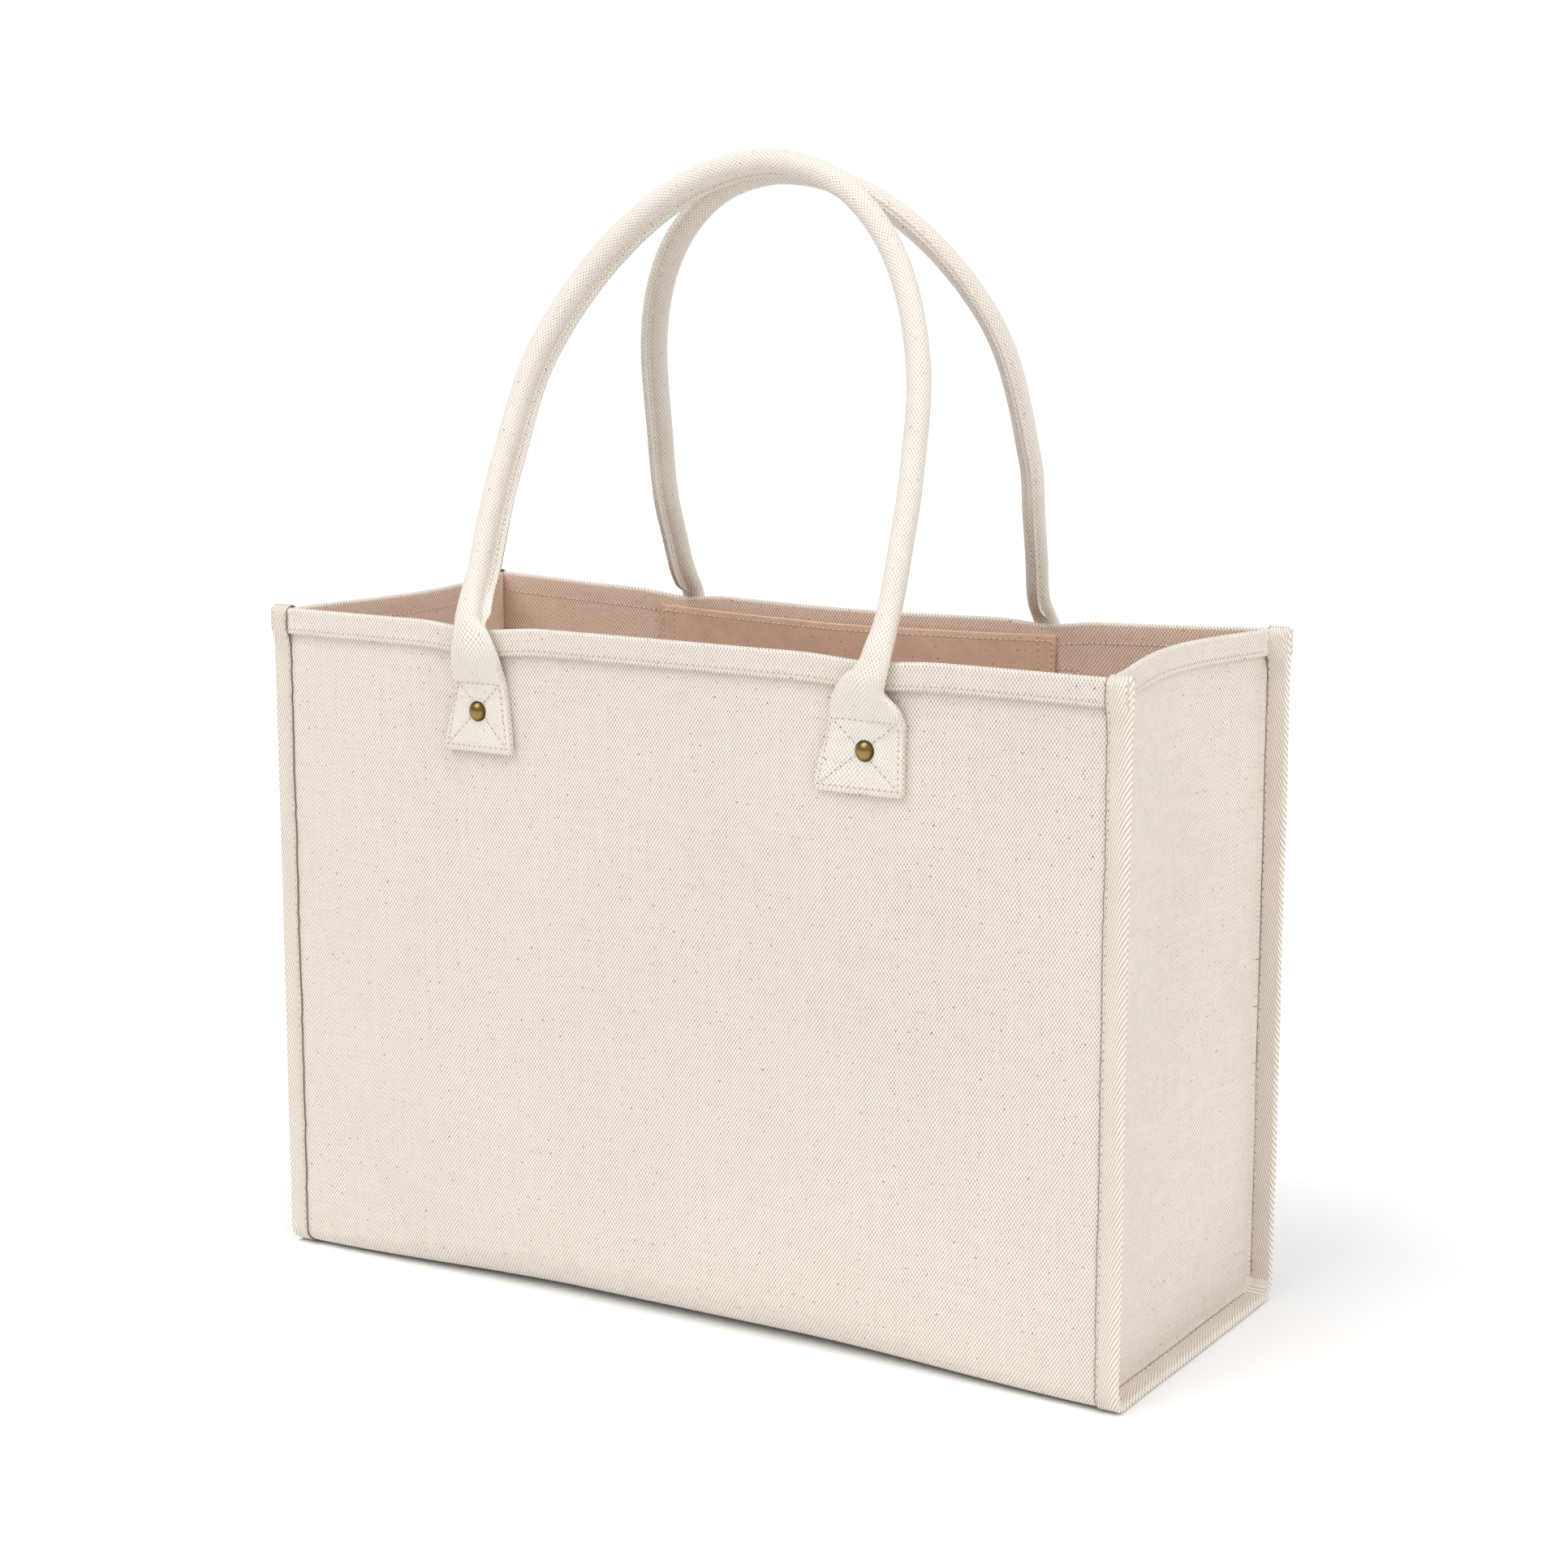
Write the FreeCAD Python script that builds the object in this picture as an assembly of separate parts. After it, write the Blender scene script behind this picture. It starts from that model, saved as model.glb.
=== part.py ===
import FreeCAD, Part
import math
import os

# A box-bottomed canvas tote bag that stands open. Millimetres, +Z up, origin on the floor under
# the middle of the base. The front faces -Y and the width runs along X. One strip of canvas makes
# front, base and back; two gussets close the ends; taped seams stand out along the four corners.

os.makedirs("parts", exist_ok=True)
Vector = FreeCAD.Vector

# Canvas body
bag_width = 410.0          # seam to seam
bag_depth = 166.0          # outer face of the front to outer face of the back
bag_height = 305.0         # floor to rim
base_edge_radius = 8.0     # roll of the canvas from a wall into the base
canvas = 1.2               # thickness of the body canvas
hem_height = 12.0
hem_layers = 2             # layers turned to the outside of the wall
gusset_bow_rim = 17.0      # how far the middle of a gusset draws in at the rim
gusset_bow_base = 1.0      # and at the base
gusset_levels = 4          # sections that the bowed wall is lofted through

# Taped side seams
seam_allowance = 10.0      # canvas outside the seam line
tape = 0.6                 # thickness of the twill tape
seam_gap = 0.3             # tape edge to gusset wall
hem_end_gap = 0.5          # hem end to tape

# Inner pocket on the back wall
pocket_width = 220.0
pocket_height = 150.0
pocket_cloth = 0.6
pocket_gape = 5.5          # how far the pocket stands off the wall
pocket_drop = 8.5          # pocket mouth below the rim

# Handles: a rope core in a sewn canvas cover
tube_diameter = 10.6
cover_wall = 0.8
core_play = 0.05           # radial play between core and cover
handle_clearance = 0.4     # tube to hem
leg_spread = 98.0          # half the distance between the two legs at the tabs
loop_half_width = {"front": 104.3, "back": 99.0}
loop_crown = {"front": 150.0, "back": 128.0}      # height of the elliptical crown in its own plane
loop_rise = {"front": 200.0, "back": 194.0}       # centre line at the apex, above the rim
apex_offset = {"front": 1.0, "back": 14.0}        # centre line from the middle of the bag, own side
bend_above_rim = 7.0       # where the upright leg turns to lean in
crown_bends = 5            # corners of the polygon that the crown is rounded from
arc_share = 0.45           # of the shorter run, taken by each bend

# Tabs: the flattened, folded end of each cover, sewn and riveted below the rim
tab_width = 39.0
tab_thickness = 3.6
tab_top = 24.0             # below the rim
tab_bottom = 57.0          # below the rim
fold_below_rim = 14.0      # the line that a handle folds on
fold_gap = 2.0             # between the fixed neck and the moving tube
fold_stand_off = 0.6       # fold line outside the tube's surface

# Rivets
rivet_below_rim = 38.6
rivet_head_diameter = 9.0
rivet_dome = 2.4
rivet_post_diameter = 3.0
rivet_hole_diameter = 3.2
rivet_back_thickness = 1.0

# Worked out from the sizes above
half_width = bag_width / 2
half_depth = bag_depth / 2
hem = hem_layers * canvas
tube_radius = tube_diameter / 2
handle_offset = half_depth + hem + handle_clearance + tube_radius
fold_height = bag_height - fold_below_rim
fold_offset = handle_offset + tube_radius + fold_stand_off
rivet_height = bag_height - rivet_below_rim
allowance_offset = tape + canvas                  # gusset allowance, inside the body's own
tape_inner_offset = allowance_offset + canvas
seam_thickness = tape_inner_offset + tape
SIDES = {"front": -1, "back": 1}
ENDS = {"left": -1, "right": 1}
MIRROR_X = Vector(1, 0, 0)
MIRROR_Y = Vector(0, 1, 0)
ORIGIN = Vector(0, 0, 0)


def box(low, high):
    size = high - low
    return Part.makeBox(size.x, size.y, size.z, low)


def bag_block(offset, x_low, x_high):
    """Block with the bag's own rounded section, its skin lying offset inside the bag's."""
    side = half_depth - offset
    radius = base_edge_radius - offset
    sagitta = radius * (1 - math.sqrt(0.5))
    front_top = Vector(x_low, -side, bag_height)
    front_low = Vector(x_low, -side, offset + radius)
    front_mid = Vector(x_low, -side + sagitta, offset + sagitta)
    base_front = Vector(x_low, -side + radius, offset)
    base_back = Vector(x_low, side - radius, offset)
    back_mid = Vector(x_low, side - sagitta, offset + sagitta)
    back_low = Vector(x_low, side, offset + radius)
    back_top = Vector(x_low, side, bag_height)
    edges = [
        Part.LineSegment(front_top, front_low).toShape(),
        Part.Arc(front_low, front_mid, base_front).toShape(),
        Part.LineSegment(base_front, base_back).toShape(),
        Part.Arc(base_back, back_mid, back_low).toShape(),
        Part.LineSegment(back_low, back_top).toShape(),
        Part.LineSegment(back_top, front_top).toShape(),
    ]
    return Part.Face(Part.Wire(edges)).extrude(Vector(x_high - x_low, 0, 0))


def bag_band(outer, inner, x_low, x_high):
    """U-shaped layer of cloth between two offsets inside the bag's skin, open at the rim."""
    return bag_block(outer, x_low, x_high).cut(bag_block(inner, x_low, x_high))


def both_ways(shape, normal):
    return [shape, shape.mirror(ORIGIN, normal)]


def join(shapes):
    solid = shapes[0].multiFuse(shapes[1:]).removeSplitter()
    return solid.Solids[0] if len(solid.Solids) == 1 else solid


def export(shape, node):
    state = "valid" if shape.isValid() else "NOT VALID"
    print(f"{node:24s} {len(shape.Solids)} solid {shape.Volume / 1000:9.2f} cm3 {state}")
    shape.exportStep(f"parts/{node}.step")


# Front, base and back in one strip, with its seam allowances, outside hems and rivet holes
def body_panel():
    flange = bag_band(tape, tape + canvas, half_width, half_width + seam_allowance)
    hem_reach = half_width - hem_end_gap
    hem_strip = box(
        Vector(-hem_reach, -half_depth - hem, bag_height - hem_height),
        Vector(hem_reach, -half_depth, bag_height),
    )
    layers = [bag_band(0, canvas, -half_width, half_width)]
    layers += both_ways(flange, MIRROR_X)
    layers += both_ways(hem_strip, MIRROR_Y)
    holes = [
        Part.makeCylinder(
            rivet_hole_diameter / 2,
            bag_depth + 2 * hem,
            Vector(end * leg_spread, -half_depth - hem, rivet_height),
            MIRROR_Y,
        )
        for end in ENDS.values()
    ]
    return join(layers).cut(holes)


# A gusset: a wall that bows in towards the rim, its seam allowance and its outside hem
def bow_at(height):
    return gusset_bow_base + (gusset_bow_rim - gusset_bow_base) * height / bag_height


def bowed_section(face_shift, thickness, height):
    """Section of a bowed layer at one height; face_shift places its outer face."""
    reach = half_depth - allowance_offset
    bow = bow_at(height)
    corners = []
    for x in (half_width + face_shift, half_width + face_shift - thickness):
        ends = [Vector(x, y, height) for y in (-reach, reach)]
        corners.append((ends[0], Vector(x - bow, 0, height), ends[1]))
    near, far = corners
    edges = [
        Part.Arc(*near).toShape(),
        Part.LineSegment(near[2], far[2]).toShape(),
        Part.Arc(far[2], far[1], far[0]).toShape(),
        Part.LineSegment(far[0], near[0]).toShape(),
    ]
    return Part.Wire(edges)


def bowed_layer(face_shift, thickness):
    """Upright layer across the bag's end, from the base allowance to the rim."""
    step = (bag_height - allowance_offset) / (gusset_levels - 1)
    sections = [
        bowed_section(face_shift, thickness, allowance_offset + level * step)
        for level in range(gusset_levels)
    ]
    return Part.makeLoft(sections, True, True)


def right_gusset():
    wall = bowed_layer(0, canvas).common(bag_block(allowance_offset, 0, bag_width))
    allowance = bag_band(
        allowance_offset,
        tape_inner_offset,
        half_width - canvas,
        half_width + seam_allowance,
    )
    hem_reach = half_depth - seam_thickness - hem_end_gap
    hem_room = box(
        Vector(0, -hem_reach, bag_height - hem_height),
        Vector(bag_width, hem_reach, bag_height),
    )
    hemmed_edge = bowed_layer(hem, hem + canvas).common(hem_room)
    return join([wall, allowance, hemmed_edge])


# Twill tape folded round the seam allowances: down the front, under the base and up the back
def right_binding():
    tape_end = half_width + seam_allowance
    outer = bag_band(0, tape, half_width, tape_end)
    inner = bag_band(tape_inner_offset, seam_thickness, half_width + seam_gap, tape_end)
    fold = bag_band(0, seam_thickness, tape_end, tape_end + tape)
    return join([outer, inner, fold])


# Open-topped pocket sewn to the inside of the back wall
def inner_pocket():
    wall_face = half_depth - canvas
    top = bag_height - pocket_drop
    bottom = top - pocket_height
    outside = box(
        Vector(-pocket_width / 2, wall_face - pocket_gape - pocket_cloth, bottom),
        Vector(pocket_width / 2, wall_face, top),
    )
    inside = box(
        Vector(pocket_cloth - pocket_width / 2, wall_face - pocket_gape, bottom + pocket_cloth),
        Vector(pocket_width / 2 - pocket_cloth, wall_face, top),
    )
    return outside.cut(inside)


# Handle route: an upright leg over the hem, a lean towards the middle and an elliptical crown
def handle_points(side):
    bend_height = bag_height + bend_above_rim
    across = handle_offset - apex_offset[side]
    rise = bag_height + loop_rise[side] - bend_height
    plane_length = math.hypot(across, rise)
    crown = loop_crown[side]
    half = loop_half_width[side]
    leg_length = plane_length - crown

    def in_plane(x, run):
        share = run / plane_length
        return Vector(x, SIDES[side] * (handle_offset - across * share), bend_height + rise * share)

    half_step = math.pi / crown_bends / 2
    crown_points = []
    for bend in range(crown_bends):
        angle = half_step * (2 * bend + 1)
        x = half * math.cos(angle) / math.cos(half_step)
        run = leg_length + crown * math.sin(angle) / math.cos(half_step)
        crown_points.append(in_plane(x, run))
    foot_height = fold_height + fold_gap / 2
    foot = SIDES[side] * handle_offset
    bend_spread = (leg_spread + half) / 2
    start = [Vector(leg_spread, foot, foot_height), Vector(bend_spread, foot, bend_height)]
    finish = [Vector(-bend_spread, foot, bend_height), Vector(-leg_spread, foot, foot_height)]
    return start + crown_points + finish


def rounded_route(points):
    """Straight runs joined by tangent arcs, each as large as its two runs allow."""
    edges = []
    last = points[0]
    for before, corner, after in zip(points, points[1:], points[2:]):
        arriving = corner - before
        leaving = after - corner
        cut_back = arc_share * min(arriving.Length, leaving.Length)
        arriving.normalize()
        leaving.normalize()
        half_turn = arriving.getAngle(leaving) / 2
        radius = cut_back / math.tan(half_turn)
        inward = leaving - arriving
        inward.normalize()
        first = corner - arriving * cut_back
        second = corner + leaving * cut_back
        middle = corner + inward * (radius / math.cos(half_turn) - radius)
        edges.append(Part.LineSegment(last, first).toShape())
        edges.append(Part.Arc(first, middle, second).toShape())
        last = second
    edges.append(Part.LineSegment(last, points[-1]).toShape())
    return Part.Wire(edges)


def swept_round(route, radius):
    start = route.Edges[0].Vertexes[0].Point
    along = route.Edges[0].tangentAt(route.Edges[0].FirstParameter)
    section = Part.Wire(Part.Circle(start, along, radius).toShape())
    return route.makePipeShell([section], True, False)


def handle(side):
    route = rounded_route(handle_points(side))
    bore = tube_radius - cover_wall
    cover = swept_round(route, tube_radius).cut(swept_round(route, bore))
    core = swept_round(route, bore - core_play)
    print(f"{side} handle: {route.Length:.1f} mm along its centre line")
    return cover, core


# One tab: a sewn plate flat on the wall and a neck that rises to the fold line
def tab(side, end):
    facing = SIDES[side]
    middle = Vector(ENDS[end] * leg_spread, 0, 0)
    plate = box(
        Vector(-tab_width / 2, half_depth, bag_height - tab_bottom),
        Vector(tab_width / 2, half_depth + tab_thickness, bag_height - tab_top),
    )
    flat_centre = Vector(0, half_depth + tab_thickness / 2, bag_height - tab_top)
    flat = Part.Ellipse(
        flat_centre + Vector(tab_width / 2, 0, 0),
        flat_centre + Vector(0, tab_thickness / 2, 0),
        flat_centre,
    )
    round_centre = Vector(0, handle_offset, fold_height - fold_gap / 2)
    round_end = Part.Ellipse(
        round_centre + Vector(tube_radius + core_play, 0, 0),
        round_centre + Vector(0, tube_radius, 0),
        round_centre,
    )
    sections = [Part.Wire(curve.toShape()) for curve in (flat, round_end)]
    neck = Part.makeLoft(sections, True, True)
    hole = Part.makeCylinder(
        rivet_hole_diameter / 2,
        tab_thickness,
        Vector(0, half_depth, rivet_height),
        MIRROR_Y,
    )
    shape = join([plate, neck]).cut(hole)
    if facing < 0:
        shape = shape.mirror(ORIGIN, MIRROR_Y)
    return shape.translated(middle)


# One rivet: a domed head with its post outside, and a flat cap pressed on it inside
def rivet(side, end):
    head_radius = rivet_head_diameter / 2
    post_radius = rivet_post_diameter / 2
    seat = half_depth + tab_thickness
    dome_radius = (head_radius**2 + rivet_dome**2) / (2 * rivet_dome)
    ball = Part.makeSphere(dome_radius, Vector(0, seat + rivet_dome - dome_radius, rivet_height))
    slab = box(
        Vector(-head_radius, seat, rivet_height - head_radius),
        Vector(head_radius, seat + rivet_dome, rivet_height + head_radius),
    )
    post_start = half_depth - canvas - rivet_back_thickness
    at_post = Vector(0, post_start, rivet_height)
    post_length = seat - post_start
    post = Part.makeCylinder(post_radius, post_length, at_post, MIRROR_Y)
    head = join([ball.common(slab), post])
    disc = Part.makeCylinder(head_radius, rivet_back_thickness, at_post, MIRROR_Y)
    back = disc.cut(Part.makeCylinder(post_radius, rivet_back_thickness, at_post, MIRROR_Y))
    pieces = []
    for shape in (head, back):
        if SIDES[side] < 0:
            shape = shape.mirror(ORIGIN, MIRROR_Y)
        pieces.append(shape.translated(Vector(ENDS[end] * leg_spread, 0, 0)))
    return pieces


export(body_panel(), "body_panel")
for name, solid in (("gusset", right_gusset()), ("binding", right_binding())):
    export(solid, f"{name}_right")
    export(solid.mirror(ORIGIN, MIRROR_X), f"{name}_left")
export(inner_pocket(), "inner_pocket")
for side in SIDES:
    cover, core = handle(side)
    export(cover, f"{side}_handle_cover")
    export(core, f"{side}_handle_core")
    for end in ENDS:
        head, back = rivet(side, end)
        export(tab(side, end), f"{side}_{end}_tab")
        export(head, f"{side}_{end}_rivet_head")
        export(back, f"{side}_{end}_rivet_back")
print(f"fold lines: y {fold_offset:.2f} z {fold_height:.2f}")
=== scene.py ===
import bmesh
import bpy
import math
import random
from mathutils import Matrix, Vector, noise
from mathutils.bvhtree import BVHTree
from mathutils.geometry import interpolate_bezier, intersect_point_line


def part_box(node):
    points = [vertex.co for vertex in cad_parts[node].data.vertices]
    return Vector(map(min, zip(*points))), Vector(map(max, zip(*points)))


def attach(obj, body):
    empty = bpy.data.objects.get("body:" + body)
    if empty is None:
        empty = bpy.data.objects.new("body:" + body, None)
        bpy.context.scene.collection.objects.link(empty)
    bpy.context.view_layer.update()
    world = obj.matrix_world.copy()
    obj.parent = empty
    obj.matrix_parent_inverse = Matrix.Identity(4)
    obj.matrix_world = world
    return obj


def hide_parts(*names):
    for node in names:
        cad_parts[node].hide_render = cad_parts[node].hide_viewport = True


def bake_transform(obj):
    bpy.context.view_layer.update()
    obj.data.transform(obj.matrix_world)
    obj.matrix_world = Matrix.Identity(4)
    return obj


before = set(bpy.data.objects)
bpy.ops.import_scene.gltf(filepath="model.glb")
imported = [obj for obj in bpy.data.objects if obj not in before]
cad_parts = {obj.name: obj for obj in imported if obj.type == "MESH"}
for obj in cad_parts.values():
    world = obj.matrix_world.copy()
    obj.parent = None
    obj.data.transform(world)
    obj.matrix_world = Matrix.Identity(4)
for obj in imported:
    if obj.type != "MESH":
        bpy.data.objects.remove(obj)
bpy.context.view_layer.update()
mm = 0.001

# Camera
# It stands a little above the rim, to the right of the front.
camera_turn = math.radians(30.84)
camera_rise = math.radians(10.66)
camera_distance = 1408.4 * mm
looks_at = Vector((7.9, 0, 230.0)) * mm
away = Vector((
    math.sin(camera_turn) * math.cos(camera_rise),
    -math.cos(camera_turn) * math.cos(camera_rise),
    math.sin(camera_rise),
))
camera_data = bpy.data.cameras.new("camera")
camera_data.lens = 71.89
camera_data.sensor_width = 36
camera_data.clip_start = 0.05
camera = bpy.data.objects.new("camera", camera_data)
camera.location = looks_at + away * camera_distance
camera.rotation_euler = (-away).to_track_quat("-Z", "Y").to_euler()
bpy.context.scene.collection.objects.link(camera)
bpy.context.scene.camera = camera

# Studio
# A white room: even light from all round, a soft key from the front left and a soft fill from the
# right. The background is plain white.
view = bpy.context.scene.view_settings
view.view_transform = "Standard"
view.look = "None"
world = bpy.data.worlds.new("white room")
bpy.context.scene.world = world
world.use_nodes = True


def feed(node, label, value):
    """Links a socket to one of a node's inputs, or gives the input a number, a vector or a colour."""
    if isinstance(value, bpy.types.NodeSocket):
        node.id_data.links.new(value, node.inputs[label])
    else:
        node.inputs[label].default_value = value


def settle(node, **values):
    """Feeds a node's inputs by name; underscores stand for spaces."""
    for label, value in values.items():
        feed(node, label.replace("_", " "), value)


seen = world.node_tree.nodes.new("ShaderNodeLightPath")
room_light = world.node_tree.nodes.new("ShaderNodeMapRange")
settle(room_light, Value=seen.outputs["Is Camera Ray"], To_Min=0.38, To_Max=1.0)
settle(world.node_tree.nodes["Background"], Color=(1, 1, 1, 1), Strength=room_light.outputs[0])


def soft_lamp(name, turn, rise, softness, strength):
    """Very soft far lamp; turn is to the right of the front, rise above the floor, in degrees."""
    lamp = bpy.data.lights.new(name, "SUN")
    lamp.angle = math.radians(softness)
    lamp.energy = strength
    holder = bpy.data.objects.new(name, lamp)
    turn = math.radians(turn)
    rise = math.radians(rise)
    toward = Vector((math.sin(turn) * math.cos(rise), -math.cos(turn) * math.cos(rise), math.sin(rise)))
    holder.rotation_euler = toward.to_track_quat("Z", "Y").to_euler()
    bpy.context.scene.collection.objects.link(holder)


soft_lamp("key lamp", -30, 52, 40, 1.3)
soft_lamp("fill lamp", 76, 34, 60, 1.1)
soft_lamp("top lamp", 0, 85, 70, 1.1)


def new_material(name):
    """New material, its node tree and its shader."""
    material = bpy.data.materials.new(name)
    material.use_nodes = True
    tree = material.node_tree
    return material, tree, tree.nodes["Principled BSDF"]


floor_drop = 0.2 * mm
floor_reach = 6
floor_shape = bmesh.new()
bmesh.ops.create_grid(floor_shape, x_segments=1, y_segments=1, size=floor_reach)
bmesh.ops.translate(floor_shape, verts=floor_shape.verts, vec=(0, 0, -floor_drop))
floor_mesh = bpy.data.meshes.new("floor")
floor_shape.to_mesh(floor_mesh)
floor_shape.free()
floor = bpy.data.objects.new("floor", floor_mesh)
bpy.context.scene.collection.objects.link(floor)
floor_paint, tree, shader = new_material("white floor")
settle(shader, Base_Color=(0.97, 0.97, 0.97, 1), Roughness=0.9, Specular_IOR_Level=0.1)
floor_mesh.materials.append(floor_paint)

# Body panel
# One strip of heavy natural canvas: down the front, across the base and up the back. Each end is
# turned twice to the outside for a hem. It is sewn first, flat, and the gussets are set in later.
tape_low, tape_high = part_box("binding_right")
tape_cloth = 0.6 * mm
seam_line = tape_low.x
allowance_end = tape_high.x - tape_cloth
half_depth = tape_high.y
rim = tape_high.z
canvas = 1.15 * mm
layer = canvas + 0.05 * mm          # from one layer to the next in a stack
base_lift = 0.8 * mm                # the base stands on the seam tapes
hem_depth = 12 * mm
roll_at_seam = 8 * mm
roll_at_middle = 21 * mm
rivet_low, rivet_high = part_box("front_right_rivet_head")
leg_x = (rivet_low.x + rivet_high.x) / 2
rivet_z = (rivet_low.z + rivet_high.z) / 2
wall_rows = 62
base_rows = 16
strip_columns = 96


def smooth(value):
    """0 to 1 with level ends."""
    share = min(max(value, 0.0), 1.0)
    return share * share * (3 - 2 * share)


def bump(distance, reach):
    """1 in the middle, falling smoothly to 0 at reach."""
    return smooth(1 - abs(distance) / reach)


def straight(start, end, steps):
    """Points from start up to, but not including, end."""
    return [Vector(start).lerp(Vector(end), step / steps) for step in range(steps)]


def arc(centre, radius, first, last, steps):
    """Points on an arc, the last one left out; angles in degrees."""
    points = []
    for step in range(steps):
        angle = math.radians(first + (last - first) * step / steps)
        points.append(Vector(centre) + radius * Vector((math.cos(angle), math.sin(angle))))
    return points


def lengths_along(points):
    """Distance of each point from the first, along the line."""
    runs = [0.0]
    for before, after in zip(points, points[1:]):
        runs.append(runs[-1] + (after - before).length)
    return runs


def with_neighbours(points):
    """Each point of a line between the one before it and the one after it."""
    return zip([points[0]] + points, points, points[1:] + [points[-1]])


def hem_profile(wall_at, foot):
    """Points (out, up) of a twice-turned hem and the wall below it, down to foot."""
    middle = wall_at + layer
    outer = wall_at + 2 * layer
    hem_foot = rim - hem_depth + layer
    hem_top = rim - layer - canvas / 2
    points = straight((middle, hem_top - layer), (middle, hem_foot), 3)
    points += arc((middle + layer / 2, hem_foot), layer / 2, 180, 360, 6)
    points += straight((outer, hem_foot), (outer, hem_top), 5)
    points += arc((middle, hem_top), layer, 0, 180, 8)
    points += straight((wall_at, hem_top), (wall_at, foot), wall_rows)
    return points


def cloth_grid(columns, rows, place):
    """Grid of columns x rows cells; place(i, j) gives each corner's point and its spot on the cloth."""
    bm = bmesh.new()
    bmesh.ops.create_grid(bm, x_segments=columns, y_segments=rows, size=1)
    weave = bm.loops.layers.uv.new("cloth")
    spots = []
    for index, vert in enumerate(bm.verts):
        vert.co, spot = place(index % (columns + 1), index // (columns + 1))
        spots.append(spot)
    bm.verts.index_update()
    for face in bm.faces:
        face.smooth = True
        for loop in face.loops:
            loop[weave].uv = spots[loop.vert.index]
    return bm


def piece_from(bm, name, body, materials):
    """Finished object from a bmesh, riding on a body."""
    mesh = bpy.data.meshes.new(name)
    bm.to_mesh(mesh)
    bm.free()
    for material in materials:
        mesh.materials.append(material)
    piece = bpy.data.objects.new(name, mesh)
    bpy.context.scene.collection.objects.link(piece)
    if body:
        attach(piece, body)
    return piece


def thicken(piece, thickness):
    solidify = piece.modifiers.new("thickness", "SOLIDIFY")
    solidify.thickness = thickness
    solidify.offset = 0
    solidify.material_offset = 1 if len(piece.data.materials) > 1 else 0


def math_node(tree, operation, *values, kind="ShaderNodeMath"):
    """Math node fed with sockets or numbers; returns its output."""
    node = tree.nodes.new(kind)
    node.operation = operation
    for index, value in enumerate(values):
        feed(node, index, value)
    return node.outputs[0]


def vector_node(tree, operation, *values):
    """Vector Math node fed with sockets or vectors; returns its output."""
    return math_node(tree, operation, *values, kind="ShaderNodeVectorMath")


def noise_node(tree, vector, scale, detail, output="Fac"):
    node = tree.nodes.new("ShaderNodeTexNoise")
    settle(node, Vector=vector, Scale=scale, Detail=detail)
    return node.outputs[output]


def axes_of(tree, vector):
    node = tree.nodes.new("ShaderNodeSeparateXYZ")
    feed(node, 0, vector)
    return node.outputs


def mix_colors(tree, share, first, second):
    """Colour mix whose share and colours are sockets or values; returns its output."""
    node = tree.nodes.new("ShaderNodeMix")
    node.data_type = "RGBA"
    for index, value in ((0, share), (6, first), (7, second)):
        feed(node, index, value)
    return node.outputs[2]


def toned(tree, color, tone):
    """Colour made lighter or darker by a tone that changes over the surface."""
    scaled = vector_node(tree, "SCALE", color)
    settle(scaled.node, Scale=tone)
    return scaled


def raise_yarns(tree, shader, height, relief, strength=0.7):
    """Bump of the yarns, as deep as relief."""
    raised = tree.nodes.new("ShaderNodeBump")
    settle(raised, Strength=strength, Distance=relief, Height=height)
    settle(shader, Normal=raised.outputs[0])


def object_place(tree):
    return tree.nodes.new("ShaderNodeTexCoord").outputs["Object"]


def cloth_map(tree):
    node = tree.nodes.new("ShaderNodeUVMap")
    node.uv_map = "cloth"
    return node.outputs[0]


def shade_group(name, values, masks):
    """Empty node group fed with a cloth map and numbers; returns it, its inputs and its outputs."""
    tree = bpy.data.node_groups.new(name, "ShaderNodeTree")
    tree.interface.new_socket("Cloth", in_out="INPUT", socket_type="NodeSocketVector")
    for label in values:
        tree.interface.new_socket(label, in_out="INPUT", socket_type="NodeSocketFloat")
    for label in masks:
        tree.interface.new_socket(label, in_out="OUTPUT", socket_type="NodeSocketFloat")
    return tree, tree.nodes.new("NodeGroupInput").outputs, tree.nodes.new("NodeGroupOutput").inputs


def use_group(tree, group, **values):
    """Places a node group; underscores in a value's name stand for spaces."""
    node = tree.nodes.new("ShaderNodeGroup")
    node.node_tree = group
    settle(node, **values)
    return node.outputs


# Plain weave: raised yarn crossings in staggered rows, with thick and thin yarns
tree, given, results = shade_group("plain weave", ("Warp Pitch", "Weft Pitch", "Wander"), ("Height", "Slub"))
plain_weave = tree
middle_gray = (0.5, 0.5, 0.5)
drift = vector_node(tree, "SUBTRACT", noise_node(tree, given["Cloth"], 85, 3, "Color"), middle_gray)
drift_scale = tree.nodes.new("ShaderNodeCombineXYZ")
settle(drift_scale, X=given["Wander"], Y=given["Wander"], Z=given["Wander"])
drift = vector_node(tree, "MULTIPLY", drift, drift_scale.outputs[0])
spot = axes_of(tree, vector_node(tree, "ADD", given["Cloth"], drift))
warp = math_node(tree, "DIVIDE", spot["X"], given["Warp Pitch"])
weft = math_node(tree, "DIVIDE", spot["Y"], given["Weft Pitch"])
waves = [math_node(tree, "COSINE", math_node(tree, "MULTIPLY", way, math.tau)) for way in (warp, weft)]
crossing = math_node(tree, "MULTIPLY_ADD", math_node(tree, "MULTIPLY", *waves), 0.5, 0.5)
tree.links.new(math_node(tree, "POWER", crossing, 0.65), results["Height"])
slubs = []
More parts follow.
